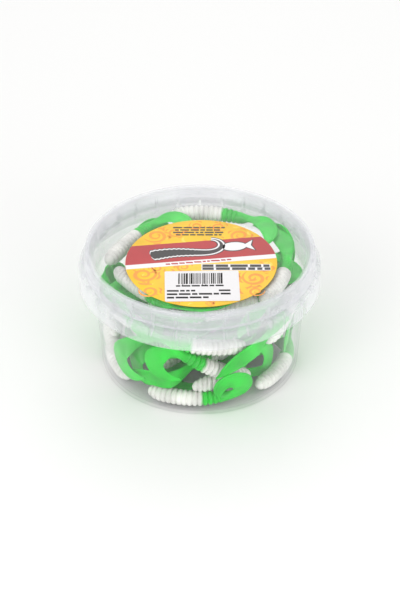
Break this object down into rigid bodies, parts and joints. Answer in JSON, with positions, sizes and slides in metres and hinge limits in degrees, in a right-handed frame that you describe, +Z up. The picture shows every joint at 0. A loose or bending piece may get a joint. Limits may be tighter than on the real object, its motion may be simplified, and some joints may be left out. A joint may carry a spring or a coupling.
{
  "type": "tub of soft plastic curly-tail fishing worms",
  "caption": "Round see-through tub with a press-on recessed lid and a tear tab, filled with white and green ribbed soft plastic worms that have flat curled tails.",
  "frame": {"origin": "middle of the tub's foot, on the surface it stands on", "axes": "+Z up along the tub's axis, -Y towards the front, where the label reads the right way up, +X to the right"},
  "size_m": [0.12, 0.12, 0.0665],
  "materials": {
    "clear_polypropylene": "satin, milky clear",
    "soft_plastic": "soft satin, white body with a green tail",
    "printed_paper": "printed gloss film",
    "white_paper": "printed matt paper"
  },
  "bodies": {
    "tub": {"tub": "clear_polypropylene", "bait_01": "soft_plastic", "bait_02": "soft_plastic", "bait_03": "soft_plastic", "bait_04": "soft_plastic", "bait_05": "soft_plastic", "bait_06": "soft_plastic", "bait_07": "soft_plastic", "bait_08": "soft_plastic", "bait_09": "soft_plastic", "bait_10": "soft_plastic", "bait_11": "soft_plastic", "bait_12": "soft_plastic", "bait_13": "soft_plastic", "bait_14": "soft_plastic", "bait_15": "soft_plastic", "bait_17": "soft_plastic", "bait_18": "soft_plastic", "bait_19": "soft_plastic", "bait_20": "soft_plastic", "bait_21": "soft_plastic", "bait_22": "soft_plastic", "bait_23": "soft_plastic", "bait_24": "soft_plastic", "bait_26": "soft_plastic", "bait_27": "soft_plastic", "bait_28": "soft_plastic", "bait_29": "soft_plastic", "bait_30": "soft_plastic", "bait_31": "soft_plastic", "bait_35": "soft_plastic", "bait_38": "soft_plastic", "bait_41": "soft_plastic", "bait_42": "soft_plastic", "bait_43": "soft_plastic", "bait_44": "soft_plastic", "bait_46": "soft_plastic", "bait_47": "soft_plastic", "bait_48": "soft_plastic", "bait_49": "soft_plastic", "bait_50": "soft_plastic", "bait_52": "soft_plastic"},
    "lid": {"lid": "clear_polypropylene", "lid_label": "printed_paper", "barcode_sticker": "white_paper"},
    "tear_tab": {"tear_tab": "clear_polypropylene"}
  },
  "joints": [
    {"name": "lid_lift", "type": "slide", "parent": "tub", "child": "lid", "axis": [0, 0, 1], "range_m": [0, 0.08]},
    {"name": "tab_tear", "type": "hinge", "parent": "tub", "child": "tear_tab", "pos_m": [0.04092, -0.04388, 0.05205], "axis": [0, 0, -1], "range_deg": [0, 100]}
  ]
}
